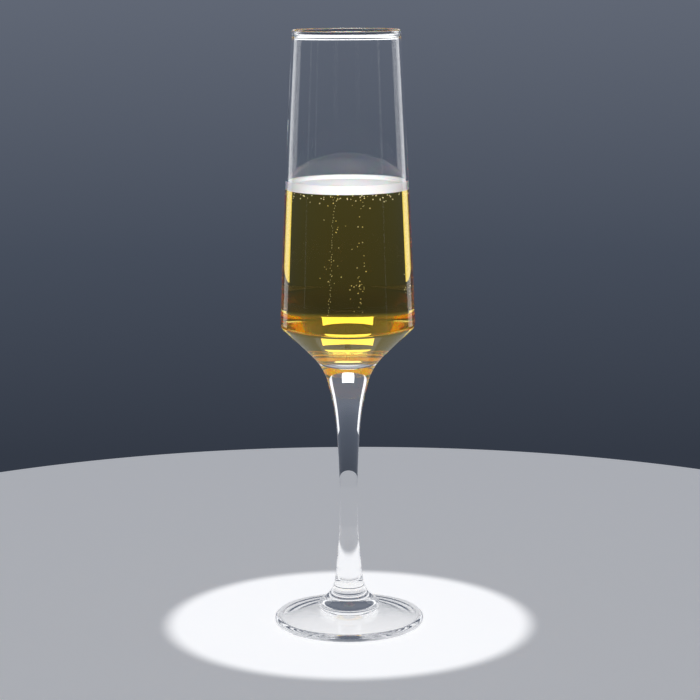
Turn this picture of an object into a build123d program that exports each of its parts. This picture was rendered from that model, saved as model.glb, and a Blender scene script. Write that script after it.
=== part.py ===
from build123d import *
import os

# Champagne flute in millimetres, +Z up, turned about the Z axis.
# The origin is the middle of the circle that the foot stands on.
# Points are (radius, height) on a section through the axis.

# Bowl, outside
rim_height = 250.0
rim_outer = (22.5, 248.9)
rim_inner = (21.15, 248.9)
neck = (22.3, 247.7)
body = (25.5, 187.0)
shoulder = (28.15, 127.6)
shoulder_rounding = 3.5
cone_end = (15.6, 115.6)
flare = (10.2, 108.3)

# Bowl, inside
inner_neck = (21.35, 247.7)
inner_body = (24.55, 187.0)
inner_belly = (26.4, 142.0)
inner_bottom = [(13.2, 116.9), (22.9, 127.5)]
cavity_bottom = 113.0

# Stem, from the bowl down to the collar that stands on the foot
stem_top = (8.3, 103.0)
stem_curve = [(6.65, 96.3), (5.15, 86.0), (4.1, 70.0), (3.7, 53.0), (4.2, 37.0), (5.4, 24.0), (7.0, 15.2)]
collar_shoulder = (10.6, 10.7)
collar_edge = (13.0, 8.3)
collar_base = (12.7, 6.0)

# Foot
foot_top_edge = (30.4, 3.5)
foot_rim = (31.7, 1.8)
foot_contact = (30.4, 0.0)
contact_inner_radius = 28.6
underside_rise = 3.4
underside_radius = (contact_inner_radius**2 + underside_rise**2) / (2 * underside_rise)

# Champagne and its foam
champagne_height = 185.0
foam_disc_height = 187.0
foam_collar_height = 188.6
foam_collar_inner_radius = 22.2
foam_collar_rounding = 0.7

os.makedirs("parts", exist_ok=True)

# The room inside the bowl, which the bowl is cut with and the champagne and foam are cut from
with BuildPart() as cavity:
    with BuildSketch(Plane.XZ):
        with BuildLine():
            Line((0, inner_neck[1]), (0, cavity_bottom))
            Spline((0, cavity_bottom), *inner_bottom, inner_belly, tangents=[(1, 0), (0, 1)])
            ThreePointArc(inner_belly, inner_body, inner_neck)
            Line(inner_neck, (0, inner_neck[1]))
        make_face()
    revolve(axis=Axis.Z)

# Bowl: a thin blown wall with a fire-polished rim, an angular shoulder and a cone over a rounded inside
with BuildPart() as bowl:
    with BuildSketch(Plane.XZ) as bowl_section:
        with BuildLine():
            Line((0, inner_neck[1]), (0, stem_top[1]))
            Line((0, stem_top[1]), stem_top)
            Spline(stem_top, flare, cone_end, tangents=[(0.25, 1), (1.05, 1)])
            Line(cone_end, shoulder)
            ThreePointArc(shoulder, body, neck)
            Spline(neck, rim_outer, ((rim_outer[0] + rim_inner[0]) / 2, rim_height), rim_inner, inner_neck)
            Line(inner_neck, (0, inner_neck[1]))
        make_face()
        fillet(bowl_section.vertices().sort_by(Axis.X)[-1], radius=shoulder_rounding)
    revolve(axis=Axis.Z)
    add(cavity.part, mode=Mode.SUBTRACT)
bowl.part.label = "bowl"
export_step(bowl.part, "parts/bowl.step")

# Stem: a solid drawn stem that swells into a rounded collar at the bottom
with BuildPart() as stem:
    with BuildSketch(Plane.XZ):
        with BuildLine():
            Line(stem_top, (0, stem_top[1]))
            Line((0, stem_top[1]), (0, collar_base[1]))
            Line((0, collar_base[1]), collar_base)
            Spline(collar_base, collar_edge, collar_shoulder, *reversed(stem_curve), stem_top)
        make_face()
    revolve(axis=Axis.Z)
stem.part.label = "stem"
export_step(stem.part, "parts/stem.step")

# Foot: a thick disc with a half-round edge, a gently raised top and a domed hollow under it
with BuildPart() as foot:
    with BuildSketch(Plane.XZ):
        with BuildLine():
            Line((0, underside_rise), (0, collar_base[1]))
            Line((0, collar_base[1]), collar_base)
            Line(collar_base, foot_top_edge)
            ThreePointArc(foot_top_edge, foot_rim, foot_contact)
            Line(foot_contact, (contact_inner_radius, 0))
            RadiusArc((contact_inner_radius, 0), (0, underside_rise), -underside_radius)
        make_face()
    revolve(axis=Axis.Z)
foot.part.label = "foot"
export_step(foot.part, "parts/foot.step")

# Champagne: fills the bowl from its rounded bottom up to the foam
with BuildPart() as champagne:
    add(cavity.part)
    split(bisect_by=Plane.XY.offset(champagne_height), keep=Keep.BOTTOM)
champagne.part.label = "champagne"
export_step(champagne.part, "parts/champagne.step")

# Foam: a thin white layer with a thicker collar that climbs the glass all round
with BuildPart() as foam:
    add(cavity.part)
    split(bisect_by=Plane.XY.offset(champagne_height), keep=Keep.TOP)
    split(bisect_by=Plane.XY.offset(foam_collar_height), keep=Keep.BOTTOM)
    with BuildSketch(Plane.XY.offset(foam_disc_height)):
        Circle(foam_collar_inner_radius)
    extrude(amount=foam_collar_height - foam_disc_height, mode=Mode.SUBTRACT)
    collar_top = foam.faces().sort_by(Axis.Z)[-1]
    fillet(collar_top.edges().sort_by(SortBy.LENGTH)[0], radius=foam_collar_rounding)
foam.part.label = "foam"
export_step(foam.part, "parts/foam.step")
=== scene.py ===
import math
import random

import bmesh
import bpy
import numpy as np
from mathutils import Matrix, Vector


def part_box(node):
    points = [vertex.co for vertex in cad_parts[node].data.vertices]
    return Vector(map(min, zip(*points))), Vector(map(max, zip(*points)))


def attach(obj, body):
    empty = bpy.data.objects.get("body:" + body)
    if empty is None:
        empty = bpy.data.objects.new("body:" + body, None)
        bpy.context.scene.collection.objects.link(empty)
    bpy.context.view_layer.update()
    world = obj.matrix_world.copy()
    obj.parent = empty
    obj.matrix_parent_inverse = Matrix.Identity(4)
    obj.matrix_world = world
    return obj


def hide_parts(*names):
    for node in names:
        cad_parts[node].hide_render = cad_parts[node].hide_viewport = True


MM = 0.001
AROUND = 256  # faces round each turned piece
SHARP_ANGLE = math.radians(25)  # edges sharper than this aren't smoothed over

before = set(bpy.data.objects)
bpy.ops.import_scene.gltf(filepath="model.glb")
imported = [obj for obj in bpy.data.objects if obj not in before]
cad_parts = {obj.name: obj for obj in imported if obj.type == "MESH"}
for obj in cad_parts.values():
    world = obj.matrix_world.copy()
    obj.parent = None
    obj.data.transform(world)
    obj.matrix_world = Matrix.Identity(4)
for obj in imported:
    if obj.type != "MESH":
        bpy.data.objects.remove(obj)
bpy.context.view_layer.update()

# Sections in millimetres, (radius, height), the same shapes as the CAD solids
RIM_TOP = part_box("bowl")[1][2] / MM
RIM_OUTER = (22.5, 248.9)
RIM_INNER = (21.15, 248.9)
NECK = (22.3, 247.7)
BODY = (25.5, 187.0)
SHOULDER = (28.15, 127.6)
CONE_END = (15.6, 115.6)
FLARE = (10.2, 108.3)
INNER_NECK = (21.35, 247.7)
INNER_BODY = (24.55, 187.0)
INNER_BELLY = (26.4, 142.0)
INNER_BOTTOM = [(13.2, 116.9), (22.9, 127.5)]
CAVITY_BOTTOM = (0.0, 113.0)
SHOULDER_ROUNDING = 3.5
STEM_TOP = (8.3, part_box("stem")[1][2] / MM)
STEM_CURVE = [(6.65, 96.3), (5.15, 86.0), (4.1, 70.0), (3.7, 53.0), (4.2, 37.0), (5.4, 24.0), (7.0, 15.2)]
COLLAR_SHOULDER = (10.6, 10.7)
COLLAR_EDGE = (13.0, 8.3)
COLLAR_BASE = (12.7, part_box("foot")[1][2] / MM)
FOOT_TOP_EDGE = (30.4, 3.5)
FOOT_RIM = (31.7, 1.8)
FOOT_CONTACT = (30.4, 0.0)
CONTACT_INNER = (28.6, 0.0)
UNDERSIDE_RISE = 3.4
WINE_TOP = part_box("champagne")[1][2] / MM
FOAM_DISC = 187.0
FOAM_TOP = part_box("foam")[1][2] / MM
FOAM_COLLAR_INNER = 22.2
GAP = 0.03  # keeps faces that touch from lying on each other, which stops light between them
BOTTOM_RADIUS = 20.0  # inside this radius the bottom of the cavity faces upwards

# Indices of refraction
GLASS_IOR = 1.52
CHAMPAGNE_IOR = 1.34


def spline(points, start=None, end=None, steps=12):
    """Points along the smooth cubic through the given ones.

    start and end are the directions it leaves and arrives in, or None for a free end.
    """
    knots = np.array(points, float)
    span = np.linalg.norm(np.diff(knots, axis=0), axis=1)
    count = len(knots)
    weights = np.zeros((count, count))
    target = np.zeros((count, 2))
    for i in range(1, count - 1):
        before = span[i - 1]
        after = span[i]
        weights[i, i - 1] = after
        weights[i, i] = 2 * (before + after)
        weights[i, i + 1] = before
        into = after * (knots[i] - knots[i - 1]) / before
        out_of = before * (knots[i + 1] - knots[i]) / after
        target[i] = 3 * (into + out_of)
    first_chord = (knots[1] - knots[0]) / span[0]
    last_chord = (knots[-1] - knots[-2]) / span[-1]
    for row, neighbour, direction, chord in ((0, 1, start, first_chord), (-1, -2, end, last_chord)):
        if direction is None:
            weights[row, row] = 2
            weights[row, neighbour] = 1
            target[row] = 3 * chord
        else:
            weights[row, row] = 1
            target[row] = np.array(direction, float) / np.linalg.norm(direction)
    slope = np.linalg.solve(weights, target)
    curve = []
    for i in range(count - 1):
        for s in np.linspace(0, 1, steps, endpoint=False):
            curve.append(
                (2 * s**3 - 3 * s**2 + 1) * knots[i]
                + (s**3 - 2 * s**2 + s) * span[i] * slope[i]
                + (3 * s**2 - 2 * s**3) * knots[i + 1]
                + (s**3 - s**2) * span[i] * slope[i + 1]
            )
    return [tuple(point) for point in curve] + [tuple(knots[-1])]


def arc(a, b, c, steps=32):
    """Points along the circle's arc from a through b to c."""
    (ax, ay), (bx, by), (cx, cy) = a, b, c
    a_squared = ax**2 + ay**2
    b_squared = bx**2 + by**2
    c_squared = cx**2 + cy**2
    d = 2 * (ax * (by - cy) + bx * (cy - ay) + cx * (ay - by))
    centre_x = (a_squared * (by - cy) + b_squared * (cy - ay) + c_squared * (ay - by)) / d
    centre_y = (a_squared * (cx - bx) + b_squared * (ax - cx) + c_squared * (bx - ax)) / d
    radius = math.hypot(ax - centre_x, ay - centre_y)
    first, middle, last = (math.atan2(y - centre_y, x - centre_x) for x, y in (a, b, c))
    turn = (last - first) % math.tau
    if (middle - first) % math.tau > turn:
        turn -= math.tau
    angles = [first + turn * s for s in np.linspace(0, 1, steps)]
    return [(centre_x + radius * math.cos(t), centre_y + radius * math.sin(t)) for t in angles]


def line(a, b, steps=12):
    """Points along the straight line from a to b."""
    return [(a[0] + (b[0] - a[0]) * s, a[1] + (b[1] - a[1]) * s) for s in np.linspace(0, 1, steps)]


def rounded(before, after, radius, steps=12):
    """Joins two stretches that meet at a corner with an arc that touches both."""
    corner = np.array(before[-1])
    back = np.array(before[-2]) - corner
    forth = np.array(after[1]) - corner
    back /= np.linalg.norm(back)
    forth /= np.linalg.norm(forth)
    half = math.acos(float(np.dot(back, forth))) / 2
    reach = radius / math.tan(half)
    middle = (back + forth) / np.linalg.norm(back + forth)
    centre = corner + middle * radius / math.sin(half)
    bend_start = tuple(corner + back * reach)
    bend_top = tuple(centre - middle * radius)
    bend_end = tuple(corner + forth * reach)
    bend = arc(bend_start, bend_top, bend_end, steps)
    too_near = reach * 1.05
    keep_before = [point for point in before if np.linalg.norm(np.array(point) - corner) > too_near]
    keep_after = [point for point in after if np.linalg.norm(np.array(point) - corner) > too_near]
    return keep_before + bend + keep_after


def faces_inwards(mesh):
    """Whether a closed mesh has its faces turned inwards, from the sign of its volume."""
    volume = 0.0
    for polygon in mesh.polygons:
        a, b, c = (mesh.vertices[polygon.vertices[i]].co for i in range(3))
        volume += a.dot((b - a).cross(c - a))
    return volume < 0


def in_scene(name, mesh):
    obj = bpy.data.objects.new(name, mesh)
    bpy.context.scene.collection.objects.link(obj)
    return obj


def lathe(name, stretches):
    """A closed turned mesh from stretches of (points in mm, material index), from the axis back to it."""
    outline = [stretches[0][0][0]]
    slots = []
    for points, slot in stretches:
        for point in points[1:]:
            outline.append(point)
            slots.append(slot)
    angles = [math.tau * i / AROUND for i in range(AROUND)]
    verts = []
    rings = []
    for r, z in outline:
        if r < 1e-6:
            rings.append([len(verts)])
            verts.append((0, 0, z * MM))
        else:
            rings.append(list(range(len(verts), len(verts) + AROUND)))
            verts += [(r * MM * math.cos(t), r * MM * math.sin(t), z * MM) for t in angles]
    faces = []
    indices = []
    for one, two, slot in zip(rings, rings[1:], slots):
        for i in range(AROUND):
            j = (i + 1) % AROUND
            if len(one) == 1:
                faces.append((one[0], two[i], two[j]))
            elif len(two) == 1:
                faces.append((one[i], two[0], one[j]))
            else:
                faces.append((one[i], two[i], two[j], one[j]))
            indices.append(slot)
    mesh = bpy.data.meshes.new(name)
    mesh.from_pydata(verts, [], faces)
    mesh.polygons.foreach_set("material_index", indices)
    mesh.update()
    if faces_inwards(mesh):
        mesh.flip_normals()
    mesh.shade_smooth()
    mesh.set_sharp_from_angle(angle=SHARP_ANGLE)
    return in_scene(name, mesh)


def material(name):
    """A material with a Principled shader; returns it with its nodes, links and shader."""
    m = bpy.data.materials.new(name)
    m.use_nodes = True
    nodes, links = m.node_tree.nodes, m.node_tree.links
    return m, nodes, links, nodes["Principled BSDF"]


def glass(name, ior, waviness):
    """Clear glass; ior is its index over that of what it touches, waviness the strength of its bump."""
    m, nodes, links, shader = material(name)
    shader.inputs["Base Color"].default_value = (1, 1, 1, 1)
    shader.inputs["Roughness"].default_value = 0
    shader.inputs["IOR"].default_value = ior
    shader.inputs["Transmission Weight"].default_value = 1
    if waviness:
        place = nodes.new("ShaderNodeTexCoord")
        stretch = nodes.new("ShaderNodeMapping")
        stretch.inputs["Scale"].default_value = (1, 1, 0.25)
        noise = nodes.new("ShaderNodeTexNoise")
        noise.inputs["Scale"].default_value = 90
        noise.inputs["Detail"].default_value = 1
        bump = nodes.new("ShaderNodeBump")
        bump.inputs["Strength"].default_value = waviness
        bump.inputs["Distance"].default_value = 0.0002
        links.new(place.outputs["Object"], stretch.inputs["Vector"])
        links.new(stretch.outputs["Vector"], noise.inputs["Vector"])
        links.new(noise.outputs["Fac"], bump.inputs["Height"])
        links.new(bump.outputs["Normal"], shader.inputs["Normal"])
    return m


def wine():
    """Champagne that only tints the light: the bending where it meets the glass is on the wetted faces."""
    m, nodes, links, shader = material("champagne_liquid")
    shader.inputs["Base Color"].default_value = (1, 1, 1, 1)
    shader.inputs["Roughness"].default_value = 0
    shader.inputs["IOR"].default_value = 1.0
    shader.inputs["Transmission Weight"].default_value = 1
    volume = nodes.new("ShaderNodeVolumeAbsorption")
    volume.inputs["Color"].default_value = (0.975, 0.864, 0.15, 1)
    volume.inputs["Density"].default_value = 75
    links.new(volume.outputs["Volume"], nodes["Material Output"].inputs["Volume"])
    return m


def froth():
    """Matt white foam with a skin of fine cells."""
    m, nodes, links, shader = material("foam_froth")
    shader.inputs["Base Color"].default_value = (0.95, 0.94, 0.91, 1)
    shader.inputs["Roughness"].default_value = 0.6
    shader.inputs["Subsurface Weight"].default_value = 0.5
    shader.inputs["Subsurface Scale"].default_value = 0.0015
    place = nodes.new("ShaderNodeTexCoord")
    cells = nodes.new("ShaderNodeTexVoronoi")
    cells.inputs["Scale"].default_value = 1500
    bump = nodes.new("ShaderNodeBump")
    bump.inputs["Strength"].default_value = 0.6
    bump.inputs["Distance"].default_value = 0.0003
    links.new(place.outputs["Object"], cells.inputs["Vector"])
    links.new(cells.outputs["Distance"], bump.inputs["Height"])
    links.new(bump.outputs["Normal"], shader.inputs["Normal"])
    return m


def bubble_painted_glint():
    """Painted glint: a small gold ball that glows a little, standing in for the bright glint that a small
    bubble shows, tinted by the champagne.
    """
    m, _, _, shader = material("bubble_painted_glint")
    shader.inputs["Base Color"].default_value = (1.0, 0.86, 0.35, 1)
    shader.inputs["Roughness"].default_value = 0.2
    # painted glint: this emission makes the bubbles glow though they are no lamp
    shader.inputs["Emission Color"].default_value = (1.0, 0.9, 0.55, 1)
    shader.inputs["Emission Strength"].default_value = 0.4
    return m


clear = glass("flute_glass", GLASS_IOR, 0.15)
wetted = glass("wetted_glass", GLASS_IOR / CHAMPAGNE_IOR, 0)
seam = glass("fused_seam", 1.0, 0)
champagne_stuff = wine()
foam_stuff = froth()

# Where those three are among a glass piece's materials
DRY = 0
WET = 1
SEAM = 2

# Bowl
bowl_bottom = spline([CAVITY_BOTTOM, *INNER_BOTTOM, INNER_BELLY], start=(1, 0), end=(0, 1), steps=28)
inner_wall = arc(INNER_BELLY, INNER_BODY, INNER_NECK, 100)
inside = bowl_bottom[:-1] + inner_wall
outer_wall = arc(NECK, BODY, SHOULDER, 60)
outside = rounded(outer_wall, line(SHOULDER, CONE_END, 24), SHOULDER_ROUNDING)
below = spline([CONE_END, FLARE, STEM_TOP], start=(-1.05, -1), end=(-0.25, -1), steps=24)
rim = spline([INNER_NECK, RIM_INNER, ((RIM_INNER[0] + RIM_OUTER[0]) / 2, RIM_TOP), RIM_OUTER, NECK], steps=8)


def inset(points, gap):
    """Moves a rising list of points, the first on the axis, towards the axis and off the bottom."""
    return [(max(r - gap, 0.0), z + gap * max(0.0, 1 - r / BOTTOM_RADIUS)) for r, z in points]


def cut(points, height):
    """Splits a rising list of points at a height."""
    k = next(i for i, point in enumerate(points) if point[1] > height)
    r0, z0 = points[k - 1]
    r1, z1 = points[k]
    edge = (r0 + (r1 - r0) * (height - z0) / (z1 - z0), height)
    return points[:k] + [edge], [edge] + points[k:]


wet_inside, dry_inside = cut(inside, FOAM_TOP)
bowl = lathe(
    "flute_bowl",
    [
        (wet_inside, WET),
        (dry_inside, DRY),
        (rim, DRY),
        (outside, DRY),
        (below, DRY),
        (line(STEM_TOP, (0, STEM_TOP[1]), 2), SEAM),
    ],
)

# Stem
stem_side = spline([STEM_TOP, *STEM_CURVE, COLLAR_SHOULDER, COLLAR_EDGE, COLLAR_BASE], steps=14)
stem_side[0] = (STEM_TOP[0], STEM_TOP[1] - GAP)
stem_side[-1] = (COLLAR_BASE[0], COLLAR_BASE[1] + GAP)
stem = lathe(
    "flute_stem",
    [
        (line((0, STEM_TOP[1] - GAP), stem_side[0], 2), SEAM),
        (stem_side, DRY),
        (line(stem_side[-1], (0, COLLAR_BASE[1] + GAP), 2), SEAM),
    ],
)

# Foot
DOME_STEPS = 33  # from the contact ring to the axis
CONTACT_ACROSS = (-CONTACT_INNER[0], CONTACT_INNER[1])
dome = arc(CONTACT_INNER, (0.0, UNDERSIDE_RISE), CONTACT_ACROSS, 2 * DOME_STEPS - 1)[:DOME_STEPS]
foot = lathe(
    "flute_foot",
    [
        (line((0, COLLAR_BASE[1]), COLLAR_BASE, 2), SEAM),
        (line(COLLAR_BASE, FOOT_TOP_EDGE), DRY),
        (arc(FOOT_TOP_EDGE, FOOT_RIM, FOOT_CONTACT, 24), DRY),
        (line(FOOT_CONTACT, CONTACT_INNER, 4), DRY),
        (dome, DRY),
    ],
)

# Champagne
wine_side, above = cut(inset(inside, GAP), WINE_TOP - GAP)
wine_piece = lathe("champagne_pour", [(wine_side, 0), (line(wine_side[-1], (0, WINE_TOP - GAP), 2), 0)])

# Foam
_, above = cut(above, WINE_TOP)
foam_side, _ = cut(above, FOAM_TOP)
collar = [
    foam_side[-1],
    (FOAM_COLLAR_INNER + 0.7, FOAM_TOP),
    (FOAM_COLLAR_INNER + 0.2, FOAM_TOP - 0.2),
    (FOAM_COLLAR_INNER, FOAM_TOP - 0.7),
    (FOAM_COLLAR_INNER, FOAM_DISC),
]
foam_piece = lathe(
    "foam_head",
    [
        (line((0, WINE_TOP), foam_side[0], 2), 0),
        (foam_side, 0),
        (collar, 0),
        (line((FOAM_COLLAR_INNER, FOAM_DISC), (0, FOAM_DISC), 12), 0),
    ],
)

for piece, stuff, node, slot in (
    (bowl, (clear, wetted, seam), "bowl", "clear_glass"),
    (stem, (clear, wetted, seam), "stem", "clear_glass"),
    (foot, (clear, wetted, seam), "foot", "clear_glass"),
    (wine_piece, (champagne_stuff,), "champagne", "champagne"),
    (foam_piece, (foam_stuff,), "foam", "foam"),
):
    for m in stuff:
        piece.data.materials.append(m)
    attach(piece, "root")
    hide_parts(node)

# Bubbles: fine strings that rise from points on the glass, a belt under the foam and a few loose ones
BUBBLE_SEED = 7


def bubble_places(chance):
    """Yields x, y, z and radius of each bubble in millimetres; x is to the right, y away from the camera."""
    belt_radius = 24.3
    for _ in range(150):  # belt just under the foam
        angle = chance.uniform(0, math.tau)
        depth = 0.4 + abs(chance.gauss(0, 1.6))
        x = belt_radius * math.cos(angle)
        y = belt_radius * math.sin(angle)
        yield x, y, WINE_TOP - depth, chance.uniform(0.14, 0.32)
    for k in range(46):  # the string that rises on the left
        rise = k * 1.15 + chance.uniform(-0.3, 0.3)
        x = -7.5 + chance.gauss(0, 0.25) + rise * 0.05
        yield x, -21.0, 132 + rise, chance.uniform(0.12, 0.18)
    for _ in range(26):  # a looser crowd left of the middle
        x = chance.gauss(-5.0, 3.2)
        y = chance.uniform(-20, -8)
        z = chance.uniform(140, 184)
        yield x, y, z, chance.uniform(0.14, 0.26)
    for _ in range(44):  # the crowd right of the middle
        x = chance.gauss(4.6, 1.5)
        y = chance.uniform(-21, -12)
        z = chance.uniform(134, 184)
        yield x, y, z, chance.uniform(0.14, 0.28)
    wall_radius = 25.3
    for _ in range(16):  # clinging to the wall at the right
        angle = math.radians(chance.uniform(-28, -12))
        x = wall_radius * math.cos(angle)
        y = wall_radius * math.sin(angle)
        z = chance.uniform(141, 152)
        yield x, y, z, chance.uniform(0.16, 0.34)


def bubbles():
    """All the bubbles as one mesh of small balls."""
    verts = []
    faces = []
    shape = bmesh.new()
    bmesh.ops.create_icosphere(shape, subdivisions=1, radius=1)
    ball = [v.co.copy() for v in shape.verts]
    sides = [[v.index for v in f.verts] for f in shape.faces]
    shape.free()
    for x, y, z, r in bubble_places(random.Random(BUBBLE_SEED)):
        first = len(verts)
        verts += [((x + r * v.x) * MM, (y + r * v.y) * MM, (z + r * v.z) * MM) for v in ball]
        faces += [[first + i for i in side] for side in sides]
    mesh = bpy.data.meshes.new("bubbles")
    mesh.from_pydata(verts, [], faces)
    mesh.shade_smooth()
    mesh.materials.append(bubble_painted_glint())
    return in_scene("bubbles", mesh)


bubble_piece = bubbles()
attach(bubble_piece, "root")

# Floor: plain and pale, with a painted pool of light round the foot. The lamps don't light it, so it glows by
# itself, more strongly inside the pool.
FLOOR_RADIUS = 0.34
FLOOR_RADIANCE = 0.3
POOL_RADIUS = 0.077
POOL_EDGE = 0.010
POOL_RADIANCE = 0.83
UNDER_FOOT = (0, 0, -0.0001)  # just clear of the contact ring
bpy.ops.mesh.primitive_circle_add(
    vertices=AROUND, radius=FLOOR_RADIUS, fill_type="TRIFAN", location=UNDER_FOOT
)
floor = bpy.context.object
floor.name = "floor"
floor_stuff, nodes, links, shader = material("floor")
shader.inputs["Base Color"].default_value = (0.8, 0.8, 0.82, 1)
shader.inputs["Roughness"].default_value = 0.8
shader.inputs["Specular IOR Level"].default_value = 0.1
place = nodes.new("ShaderNodeTexCoord")
length = nodes.new("ShaderNodeVectorMath")
length.operation = "LENGTH"
fade = nodes.new("ShaderNodeMapRange")
fade.interpolation_type = "SMOOTHSTEP"
fade.inputs["From Min"].default_value = POOL_RADIUS - POOL_EDGE / 2
fade.inputs["From Max"].default_value = POOL_RADIUS + POOL_EDGE / 2
fade.inputs["To Min"].default_value = POOL_RADIANCE
fade.inputs["To Max"].default_value = FLOOR_RADIANCE
links.new(place.outputs["Object"], length.inputs[0])
links.new(length.outputs["Value"], fade.inputs["Value"])
# painted pool of light: the floor's glow is stronger within POOL_RADIUS of the foot
shader.inputs["Emission Color"].default_value = (1, 1, 1, 1)
links.new(fade.outputs["Result"], shader.inputs["Emission Strength"])
floor.data.materials.append(floor_stuff)

# World: a dark slate surround that lightens upwards
world = bpy.data.worlds.new("slate")
bpy.context.scene.world = world
world.use_nodes = True
nodes, links = world.node_tree.nodes, world.node_tree.links
place = nodes.new("ShaderNodeTexCoord")
split = nodes.new("ShaderNodeSeparateXYZ")
ramp = nodes.new("ShaderNodeValToRGB")
rise = nodes.new("ShaderNodeMapRange")
rise.inputs["From Min"].default_value = -0.25
rise.inputs["From Max"].default_value = 0.35
links.new(place.outputs["Generated"], split.inputs["Vector"])
links.new(split.outputs["Z"], rise.inputs["Value"])
links.new(rise.outputs["Result"], ramp.inputs["Fac"])
ramp.color_ramp.elements[0].color = (0.034, 0.042, 0.060, 1)
ramp.color_ramp.elements[0].position = 0.05
ramp.color_ramp.elements[1].color = (0.128, 0.147, 0.190, 1)
ramp.color_ramp.elements[1].position = 0.42
middle = ramp.color_ramp.elements.new(0.2)
middle.color = (0.061, 0.075, 0.105, 1)
links.new(ramp.outputs["Color"], nodes["Background"].inputs["Color"])


def light(name, place, aim, width, height, radiance, lit, shadows_from=None):
    """A soft rectangular light that only the pieces in the collection lit receive."""
    data = bpy.data.lights.new(name, "AREA")
    data.shape = "RECTANGLE"
    data.size = width
    data.size_y = height
    data.energy = radiance * width * height * math.pi
    lamp = bpy.data.objects.new(name, data)
    lamp.location = place
    lamp.rotation_mode = "QUATERNION"
    lamp.rotation_quaternion = (aim - place).to_track_quat("-Z", "Y")
    lamp.visible_camera = False
    lamp.light_linking.receiver_collection = lit
    lamp.light_linking.blocker_collection = shadows_from
    bpy.context.scene.collection.objects.link(lamp)


def towards(azimuth, elevation):
    """A direction from the flute; azimuth 0 is behind it, positive to the right."""
    a, e = math.radians(azimuth), math.radians(elevation)
    return Vector((math.sin(a) * math.cos(e), math.cos(a) * math.cos(e), math.sin(e)))


def group(name, pieces):
    collection = bpy.data.collections.new(name)
    for piece in pieces:
        collection.objects.link(piece)
    return collection


whole_flute = group("whole_flute", (bowl, stem, foot, wine_piece, foam_piece, bubble_piece))
bowl_and_drink = group("bowl_and_drink", (bowl, wine_piece, foam_piece, bubble_piece))
foam_only = group("foam_only", (foam_piece,))

# Upright panels: azimuth, distance, width, height, height of the bottom edge, radiance, what they light
PANELS = {
    "rear": (0, 2.5, 0.98, 2.2, 0.543, 1.8, bowl_and_drink),
    "rim_left": (-47, 0.6, 0.19, 0.66, 0.025, 1.1, whole_flute),
    "rim_right": (47, 0.6, 0.19, 0.66, 0.025, 1.1, whole_flute),
    "streak_left": (-102, 0.6, 0.012, 0.5, 0.05, 0.7, whole_flute),
    "streak_right": (112, 0.6, 0.012, 0.5, 0.05, 0.7, whole_flute),
}
for name, (azimuth, distance, width, height, bottom, radiance, lit) in PANELS.items():
    upright = Vector((0, 0, bottom + height / 2))
    light(name, upright + towards(azimuth, 0) * distance, upright, width, height, radiance, lit)

# Softboxes aimed at the middle of the flute: azimuth, elevation, distance, width, height, radiance, what they
# light and what shades it. The foam has two of its own, which reach it through the glass.
MIDDLE = Vector((0, 0, 0.12))
SOFTBOXES = {
    "top": (0, 90, 0.9, 0.5, 0.5, 6.0, bowl_and_drink, None),
    "foam_front": (180, 20, 0.8, 0.7, 0.5, 7.0, foam_only, foam_only),
    "foam_under": (0, -89, 0.5, 0.3, 0.3, 8.0, foam_only, foam_only),
}
for name, (azimuth, elevation, distance, width, height, radiance, lit, shade) in SOFTBOXES.items():
    place = MIDDLE + towards(azimuth, elevation) * distance
    light(name, place, MIDDLE, width, height, radiance, lit, shade)

# Camera
CAMERA_DISTANCE = 0.905
CAMERA_HEIGHT = 0.2784
PITCH = math.radians(10.085)
ROLL = math.radians(0.28)
SHIFT_X = 0.003
SENSOR_WIDTH = 36
LENS_PER_FRAME = 22 / 7  # focal length over the width of the sensor
camera_data = bpy.data.cameras.new("camera")
camera_data.sensor_width = SENSOR_WIDTH
camera_data.lens = SENSOR_WIDTH * LENS_PER_FRAME
camera_data.shift_x = SHIFT_X
camera = bpy.data.objects.new("camera", camera_data)
camera.location = (0.0, -CAMERA_DISTANCE, CAMERA_HEIGHT)
look_down = Matrix.Rotation(math.pi / 2 - PITCH, 3, "X")
camera.rotation_euler = (look_down @ Matrix.Rotation(-ROLL, 3, "Z")).to_euler()
bpy.context.scene.collection.objects.link(camera)
bpy.context.scene.camera = camera

# Light goes through many faces of glass and champagne before it reaches the camera
LIGHT_BOUNCES = 128
scene = bpy.context.scene
scene.view_settings.view_transform = "Standard"
scene.cycles.max_bounces = LIGHT_BOUNCES
scene.cycles.transmission_bounces = LIGHT_BOUNCES
scene.cycles.glossy_bounces = LIGHT_BOUNCES
scene.cycles.transparent_max_bounces = 16
